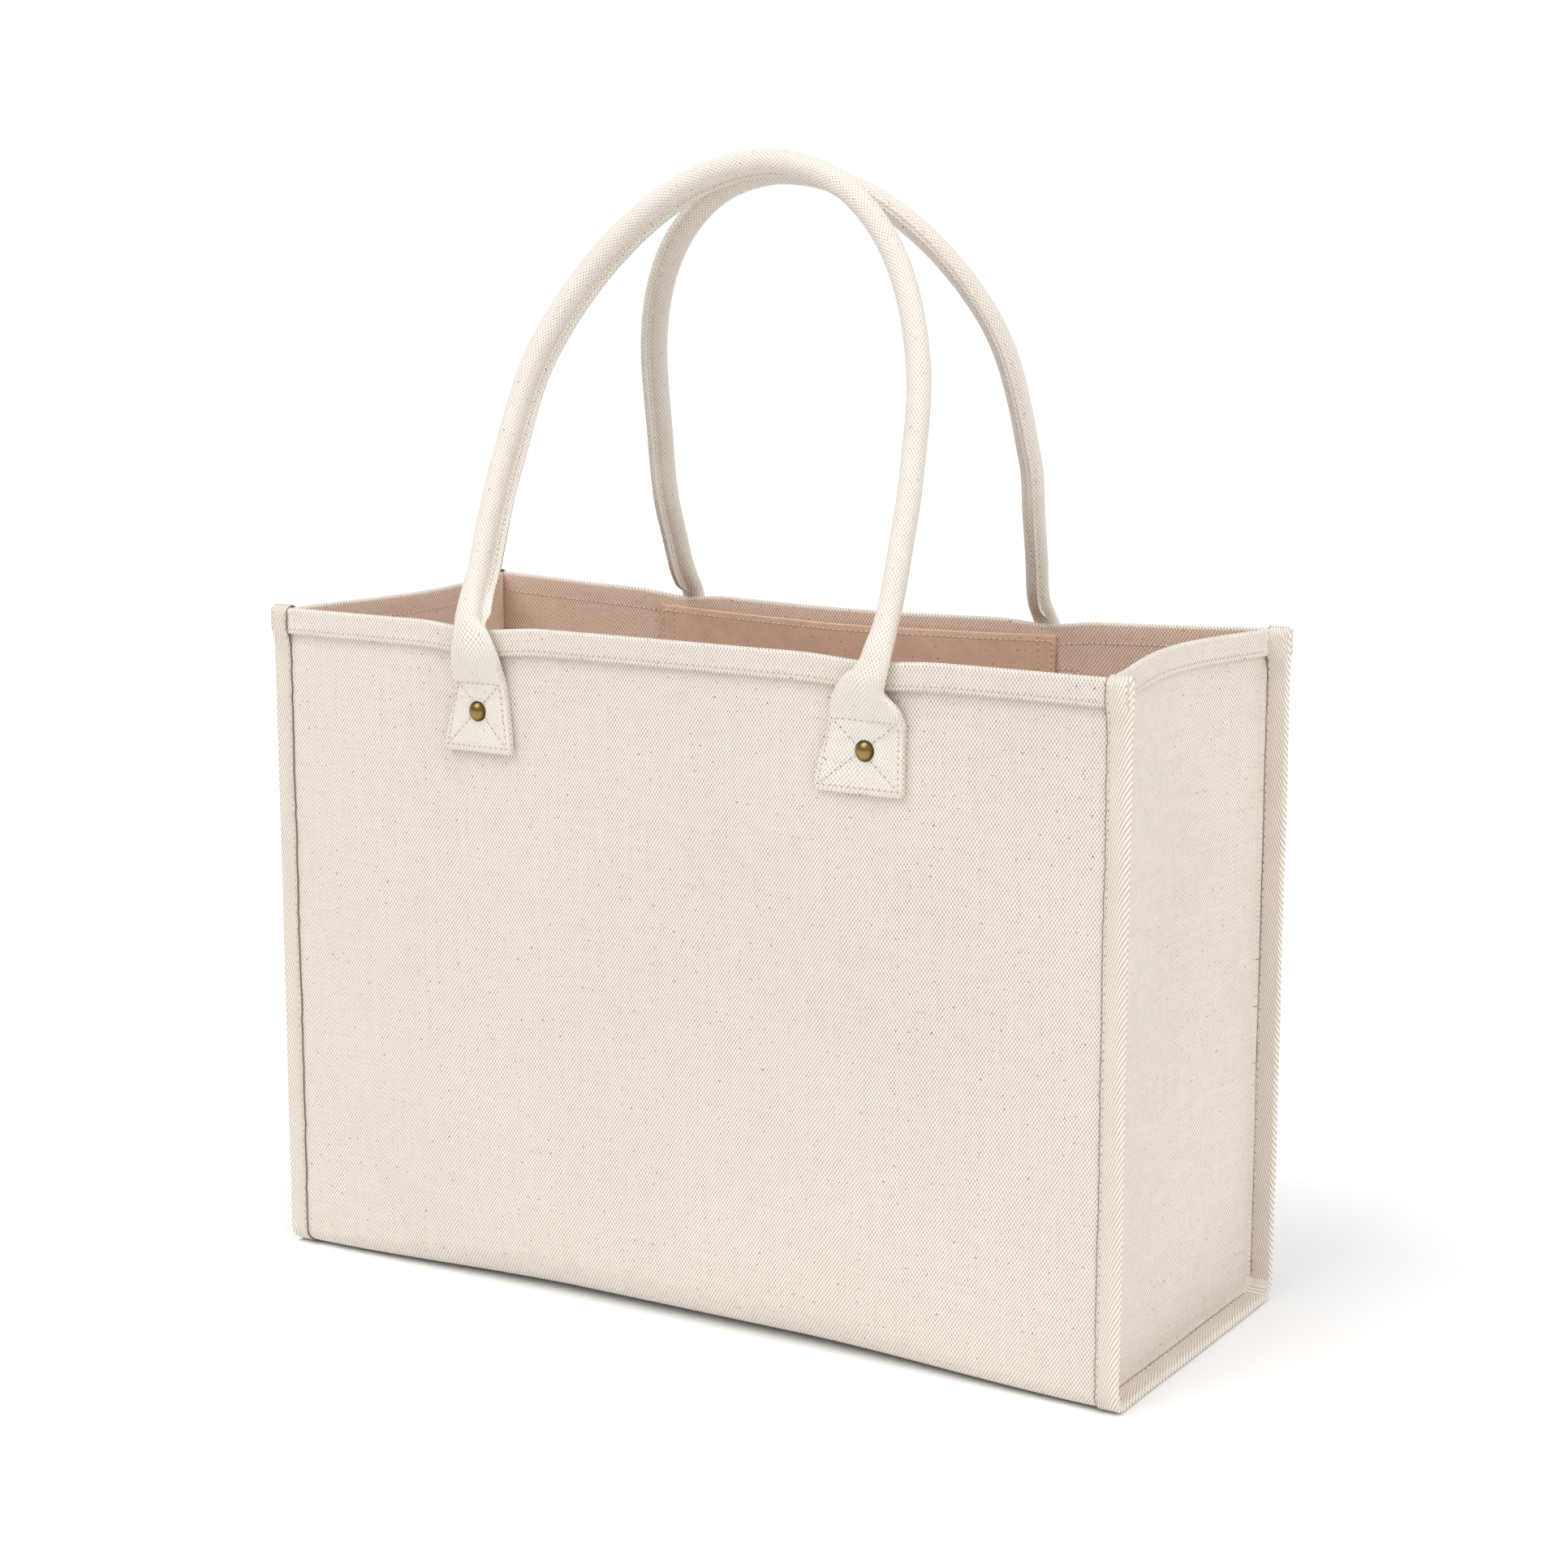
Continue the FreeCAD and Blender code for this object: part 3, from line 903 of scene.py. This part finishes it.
def flare(drop, edge, narrow):
    """Half-width of one edge of the tab at a drop below the rim: a neck, then a rounded shoulder."""
    start, full, shoulder, foot = [size * mm for size in edge]
    share = min(max((drop - start) / (full - start), 0.0), 1.0)
    round_share = smooth(share) * 0.45 + 0.55 * math.sqrt(1 - (1 - share) ** 2) * smooth(share * 2.2)
    spread = shoulder + (foot - shoulder) * smooth((drop - full) / (tab_foot - full))
    return narrow + (spread - narrow) * min(round_share, 1.0)


def tube_ring(fin, turn):
    """Ring of the covered rope with its seam fin standing at an angle from the loop's inside."""
    root = math.asin(fin_half / tube_radius)
    half_length = fin_half + fin + (math.pi - root) * tube_radius
    ring = []
    for index in range(ring_points):
        way = (index / ring_points - turn / math.tau + 0.5) % 1 - 0.5
        far = abs(way) * 2 * half_length
        edge = math.copysign(fin_half, way)
        if far < fin_half:
            notch = min(fin, fin_notch) * (1 - far / fin_half)
            point = Vector((tube_radius + fin - notch, edge * far / fin_half))
        elif far < fin_half + fin:
            point = Vector((tube_radius + fin - (far - fin_half), edge))
        else:
            angle = math.copysign(root + (far - fin_half - fin) / tube_radius, way)
            point = tube_radius * Vector((math.cos(angle), math.sin(angle)))
        ring.append(Matrix.Rotation(turn, 2) @ point)
    return ring


def tab_unit(index):
    """Corner of a flat ring, -1 to 1 each way, with a folded edge at each end."""
    half = ring_points // 2
    spot = index % half
    sign = 1 if index < half else -1
    if spot == 0:
        return Vector((0.965 * sign, 0))
    face = (spot - 1) / (half - 2)
    thin = 0.78 if spot in (1, half - 1) else 1.0
    return Vector((sign * (1 - 2 * face), sign * thin))


def box_corners(tab_name):
    """Corners (towards the loop's inside, below the rim) of a tab's box stitching, clockwise."""
    inner, outer = tab_shapes[tab_name]
    inset = 2 * mm
    top = 26 * mm
    bottom = tab_foot - 2.6 * mm
    return [
        Vector((inner[2] * mm - inset, top)), Vector((inset - outer[2] * mm, top)),
        Vector((inset - outer[3] * mm, bottom)), Vector((inner[3] * mm - inset, bottom)),
    ]


def from_line(spot, start, end):
    """Distance from a spot to a straight line of stitches."""
    share = min(max(intersect_point_line(spot, start, end)[1], 0.0), 1.0)
    return (Vector(spot) - start.lerp(end, share)).length


def quilting(spot, corners):
    """Depth of the hollow that the box stitching draws in the tab's face."""
    lines = list(zip(corners, corners[1:] + corners[:1]))
    lines += [(corners[0], corners[2]), (corners[1], corners[3])]
    nearest = min(from_line(spot, start, end) for start, end in lines)
    return quilt_depth * math.exp(-((nearest / quilt_reach) ** 2))


def handle_frames(route, side):
    """For each point of the route: the point, the way on, the loop's inside and the bag's outside."""
    frames = []
    for before, point, after in with_neighbours(route):
        along = (after - before).normalized()
        out = Vector((0, side, 0))
        out = (out - along * out.dot(along)).normalized()
        inside = along.cross(out) * -side
        frames.append((point, along, inside, out))
    return frames


def fin_turn_at(share, turns):
    first, middle, last = turns
    if share < 0.5:
        return math.radians(first + (middle - first) * smooth(share * 2))
    return math.radians(middle + (last - middle) * smooth(share * 2 - 1))


def handle_rings(side_name, side):
    """Rings of one handle from tab to tab, and the seam fin's height and angle at each."""
    route = handle_route(side_name, side)
    shape = handle_shapes[side_name]
    rings = []
    for index, (point, along, inside, out) in enumerate(handle_frames(route, side)):
        share = index / (len(route) - 1)
        drop = rim - point.z
        tab_name = f"{side_name}_{'left' if point.x < 0 else 'right'}"
        inner_edge, outer_edge = tab_shapes[tab_name]
        corners = box_corners(tab_name)
        fin = fin_height * smooth((3 * mm - drop) / (9 * mm))
        turn = fin_turn_at(share, shape["fin_turn"])
        press = bump(drop - shape["pressed_at"] * mm, 20 * mm)
        narrow = tube_radius * (1 + shape["pressed_wider"] * press)
        flat = smooth((drop - 7 * mm) / (16 * mm))
        deep = tube_radius * (1 - 0.28 * press)
        deep += (tab_half_thickness - deep) * smooth((drop - 5 * mm) / (19 * mm))
        inner_half = flare(drop, inner_edge, narrow)
        outer_half = flare(drop, outer_edge, narrow)
        end_round = smooth((tab_foot - drop) / (1.6 * mm)) ** 0.5
        tube = tube_ring(fin, turn)
        ring = []
        for spot in range(ring_points):
            unit = (tube[spot] / tube_radius).lerp(tab_unit(spot), flat)
            across = unit.x * (inner_half if unit.x > 0 else outer_half)
            lift = unit.y * deep
            if flat > 0.9:
                across *= 0.95 + 0.05 * end_round
                lift *= 0.35 + 0.65 * end_round
                if lift > 0.5 * tab_half_thickness:
                    lift -= quilting(Vector((across, drop)), corners)
            ring.append(point + inside * across + out * lift)
        rings.append((ring, fin, turn))
    return route, rings


weld = 0.001 * mm


def close_tube(bm):
    """Joins a rolled grid's two long edges and shuts its ends."""
    bmesh.ops.remove_doubles(bm, verts=bm.verts, dist=weld)
    bmesh.ops.holes_fill(bm, edges=[edge for edge in bm.edges if edge.is_boundary])
    bmesh.ops.recalc_face_normals(bm, faces=bm.faces)


def fold_with_handle(piece):
    """Bakes the piece's placement into its mesh."""
    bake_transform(piece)


made_handles = {}
for side_name, side in sides:
    route, rings = handle_rings(side_name, side)
    frames = handle_frames(route, side)
    made_handles[side_name] = (route, rings, frames)
    runs = lengths_along(route)

    def cover_place(column, row):
        ring, fin, turn = rings[row]
        on_tab = smooth((rim - 4 * mm - route[row].z) / (14 * mm))
        girth = tube_girth * (1 - on_tab) + tab_girth * on_tab
        spot = (column + 3 * ring_points // 4) % ring_points
        return ring[spot], (girth * (column / ring_points - 0.5), runs[row])

    bm = cloth_grid(ring_points, len(rings) - 1, cover_place)
    close_tube(bm)
    cover = piece_from(bm, f"{side_name}_handle", None, [handle_canvas])
    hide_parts(f"{side_name}_handle_cover", f"{side_name}_left_tab", f"{side_name}_right_tab")
    fold_with_handle(cover)

# Rope cores
# Three-strand cotton rope inside each cover, cut off at the rim so that the tabs stay flat and the
# handle can fold. It keeps the handles round and springy.


def fibre(name, scale, detail, dark, pale, roughness):
    """Plain fibre finish: two shades mixed by fine noise."""
    material, tree, shader = new_material(name)
    fibres = noise_node(tree, object_place(tree), scale, detail)
    settle(shader, Base_Color=mix_colors(tree, fibres, dark, pale), Roughness=roughness)
    return material


rope_cotton = fibre("cotton rope", 900, 3, (0.62, 0.52, 0.42, 1), (0.86, 0.80, 0.70, 1), 0.95)
strands = 3
strand_radius = 1.75 * mm
strand_throw = 1.9 * mm
strand_sides = 8
rope_lay = 22 * mm


def add_part(whole, part):
    """Moves a part's mesh into a larger one."""
    mesh = bpy.data.meshes.new("part")
    part.to_mesh(mesh)
    part.free()
    whole.from_mesh(mesh)
    bpy.data.meshes.remove(mesh)


for side_name, side in sides:
    route, rings, frames = made_handles[side_name]
    held = [index for index, point in enumerate(route) if point.z > rim - 2 * mm]
    held_runs = lengths_along([route[index] for index in held])
    bm = bmesh.new()

    def strand_place(strand):
        def place(column, row):
            point, along, inside, out = frames[held[row]]
            run = held_runs[row]
            turn = math.tau * (run / rope_lay + strand / strands)
            middle = point + (inside * math.cos(turn) + out * math.sin(turn)) * strand_throw
            press = 1 - 0.3 * bump(rim - point.z - 1 * mm, 20 * mm)
            angle = math.tau * column / strand_sides
            spot = middle + (inside * math.cos(angle) + out * math.sin(angle)) * strand_radius
            return point + (spot - point) * press, (angle * strand_radius, run)
        return place

    for strand in range(strands):
        part = cloth_grid(strand_sides, len(held) - 1, strand_place(strand))
        close_tube(part)
        add_part(bm, part)
    rope = piece_from(bm, f"{side_name}_handle_rope", f"{side_name}_handle", [rope_cotton])
    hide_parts(f"{side_name}_handle_core")

# Rivets
# A domed brass cap outside each tab, pressed through all layers onto a flat cap inside the wall.
antique_brass, tree, shader = new_material("antique brass")
place = object_place(tree)
patina = noise_node(tree, place, 300, 4)
spot = axes_of(tree, place)
across = math_node(tree, "SUBTRACT", math_node(tree, "ABSOLUTE", spot["X"]), leg_x)
above = math_node(tree, "SUBTRACT", spot["Z"], rivet_z)
squares = [math_node(tree, "POWER", way, 2.0) for way in (across, above)]
from_post = math_node(tree, "SQRT", math_node(tree, "ADD", *squares))
# Dark ring round the edge of each dome: a painted dark reflection.
painted_rim_reflection = tree.nodes.new("ShaderNodeMapRange")
painted_rim_reflection.interpolation_type = "SMOOTHSTEP"
settle(painted_rim_reflection, Value=from_post, From_Min=2.6 * mm, From_Max=4.3 * mm)
brass = mix_colors(tree, patina, (0.240, 0.160, 0.050, 1), (0.400, 0.290, 0.110, 1))
brass = mix_colors(tree, painted_rim_reflection.outputs[0], brass, (0.060, 0.038, 0.012, 1))
rough = math_node(tree, "MULTIPLY_ADD", patina, 0.20, 0.24)
settle(shader, Base_Color=brass, Roughness=rough, Metallic=1.0)
for side_name, side in sides:
    for end, end_name in ends:
        for part_name in ("head", "back"):
            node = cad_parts[f"{side_name}_{end_name}_rivet_{part_name}"]
            for material_slot in node.material_slots:
                material_slot.material = antique_brass

# Sewing thread
# Undyed cotton thread, one lockstitch after another, each end sunk in its needle hole, which is a small dark
# disc of painted shade.
thread_cotton = fibre("sewing thread", 1800, 2, (0.66, 0.54, 0.42, 1), (0.90, 0.82, 0.70, 1), 0.7)
# Dark discs at the stitch ends: painted shade in the needle holes.
needle_hole_shade = fibre("needle hole", 700, 2, (0.10, 0.06, 0.035, 1), (0.26, 0.17, 0.11, 1), 1.0)
stitch_pitch = 2.85 * mm
stitch_radius = 0.24 * mm
stitch_gap = 0.42 * mm              # from a stitch's end to its needle hole
stitch_lift = 0.08 * mm
hole_lift = 0.05 * mm
fine_hole = 0.28 * mm
open_hole = 0.33 * mm
run_of_stitches = 40


def placed(centre, along, normal, size):
    """Matrix that lays a unit shape along a line on a surface."""
    side = normal.cross(along).normalized()
    up = along.cross(side).normalized()
    turned = Matrix((along.normalized(), side, up)).transposed().to_4x4()
    return Matrix.Translation(centre) @ turned @ Matrix.Diagonal((*size, 1))


def lay_stitch(bm, first, second, normal, hole_radius):
    """One stitch between two needle holes, and a dark disc of painted shade for the hole at its start."""
    along = second - first
    half = along.length / 2 - stitch_gap
    middle = (first + second) / 2 + normal * stitch_lift
    lay = placed(middle, along, normal, (half, stitch_radius, stitch_radius))
    upright = lay @ Matrix.Rotation(math.pi / 2, 4, "Y")
    bmesh.ops.create_uvsphere(bm, u_segments=6, v_segments=4, radius=1, matrix=upright)
    seat = placed(first + normal * hole_lift, along, normal, (1, 1, 1))
    hole = bmesh.ops.create_circle(bm, cap_ends=True, segments=6, radius=hole_radius, matrix=seat)
    for face in hole["verts"][0].link_faces:
        face.material_index = 1


def stitches_through(spots):
    """Stitches (first, second, normal) from each spot (point, normal) to the next."""
    return [(here[0], there[0], here[1]) for here, there in zip(spots, spots[1:])]


def row_on(surface, corners, facing):
    """Stitches (first, second, normal) along straight lines between corners, laid on a surface."""
    row = []
    for start, end in zip(corners, corners[1:]):
        count = max(1, round((end - start).length / stitch_pitch))
        spots = [laid_on(surface, start.lerp(end, step / count), facing) for step in range(count + 1)]
        row += stitches_through(spots)
    return row


def sewing(stitches, name, body, hole_radius=fine_hole):
    """Thread piece made of stitches, built in short runs because each run is quick to make."""
    whole = bmesh.new()
    for start in range(0, len(stitches), run_of_stitches):
        part = bmesh.new()
        for first, second, normal in stitches[start:start + run_of_stitches]:
            lay_stitch(part, first, second, normal, hole_radius)
        for face in part.faces:
            face.smooth = face.material_index == 0
        add_part(whole, part)
    return piece_from(whole, name, body, [thread_cotton, needle_hole_shade])


graph = bpy.context.evaluated_depsgraph_get()
surfaces = {}
for piece_name in (
    "body_canvas", "gusset_canvas_left", "gusset_canvas_right", "seam_tape_left", "seam_tape_right",
    "pocket_patch", "front_handle", "back_handle",
):
    surfaces[piece_name] = BVHTree.FromObject(bpy.data.objects[piece_name], graph)


def marks_across(low, high, count, mark_at):
    """Marks at even steps from low to high; mark_at makes each number a point."""
    return [mark_at(low + (high - low) * step / count) for step in range(count + 1)]


hem_line = 9.5 * mm
tape_line = 1.3 * mm                # from the tape's edge
tape_depth = 4 * mm                 # to the tape's inner leaf
row_end = seam_line - 1 * mm
gusset_row_end = seam_at - 5 * mm
hem_thread = []
for side_name, side in sides:
    marks = marks_across(
        -row_end, row_end, 24,
        lambda x: Vector((x, side * half_depth, rim - hem_line - rim_dip(x, side))),
    )
    for facing in (1, -1):
        hem_thread += row_on(surfaces["body_canvas"], marks, Vector((0, side * facing, 0)))
for end, end_name in ends:
    marks = marks_across(
        -gusset_row_end, gusset_row_end, 10,
        lambda y: Vector((end * (seam_line - gusset_bow(y, rim, end)), y, rim - hem_line)),
    )
    for facing in (1, -1):
        hem_thread += row_on(surfaces[f"gusset_canvas_{end_name}"], marks, Vector((end * facing, 0, 0)))
sewing(hem_thread, "hem_stitching", "bag")

for end, end_name in ends:
    tape_thread = []
    line = []
    walked = 0.0
    for point, outward, run in tape_route:
        if run >= walked and 3 * mm < run < tape_length - 3 * mm:
            line.append((point, outward))
            walked = run + stitch_pitch
    for facing in (1, -1):
        spots = []
        for point, outward in line:
            out = Vector((0, outward.x, outward.y))
            mark = Vector((end * (tape_edge + tape_line), point.x, point.y))
            if facing < 0:
                mark -= out * tape_depth
            spots.append(laid_on(surfaces[f"seam_tape_{end_name}"], mark, out * facing))
        for first, second, normal in stitches_through(spots):
            if (second - first).length < 2 * stitch_pitch:
                tape_thread.append((first, second, normal))
    sewing(tape_thread, f"tape_stitching_{end_name}", "bag")



def on_pocket(x, up):
    return Vector((x, pocket_low.y, up))


pocket_surface = surfaces["pocket_patch"]
into_bag = Vector((0, -1, 0))
pocket_thread = []
for inset in (2 * mm, 8.3 * mm):
    edges = (pocket_left + inset, pocket_right - inset)
    for x in edges:
        marks = [
            on_pocket(x, pocket_mouth - 1.0 * mm - back_slack(x)),
            on_pocket(x, pocket_low.z + inset),
        ]
        pocket_thread += row_on(pocket_surface, marks, into_bag)
    foot = [on_pocket(x, pocket_low.z + inset) for x in edges]
    pocket_thread += row_on(pocket_surface, foot, into_bag)
mouth = marks_across(
    pocket_left + 2 * mm, pocket_right - 2 * mm, 12,
    lambda x: on_pocket(x, pocket_mouth - 2.3 * mm - back_slack(x)),
)
pocket_thread += row_on(pocket_surface, mouth, into_bag)
sewing(pocket_thread, "pocket_stitching", "bag")

for side_name, side in sides:
    box_thread = []
    for end, end_name in ends:
        corners = [
            Vector((end * (leg_x - across), side * tab_at, rim - drop))
            for across, drop in box_corners(f"{side_name}_{end_name}")
        ]
        first_row = corners + [corners[0], corners[2]]
        second_row = [corners[1], corners[3]]
        for surface_name, facing in ((f"{side_name}_handle", 1), ("body_canvas", -1)):
            for row in (first_row, second_row):
                box_thread += row_on(surfaces[surface_name], row, Vector((0, side * facing, 0)))
    sewing(box_thread, f"{side_name}_box_stitching", "bag", open_hole)

    fin_thread = []
    route, rings, frames = made_handles[side_name]
    for face_side in (-1, 1):
        spots = []
        walked = 0.0
        before = route[0]
        for (point, along, inside, out), (ring, fin, turn) in zip(frames, rings):
            walked += (point - before).length
            before = point
            if fin > 0.7 * fin_height and walked >= stitch_pitch:
                radial = inside * math.cos(turn) + out * math.sin(turn)
                sideways = (out * math.cos(turn) - inside * math.sin(turn)) * face_side
                spots.append((point + radial * (tube_radius + 1.5 * mm) + sideways * fin_half, sideways))
                walked = 0.0
        fin_thread += stitches_through(spots)
    fin_piece = sewing(fin_thread, f"{side_name}_handle_stitching", None)
    fold_with_handle(fin_piece)
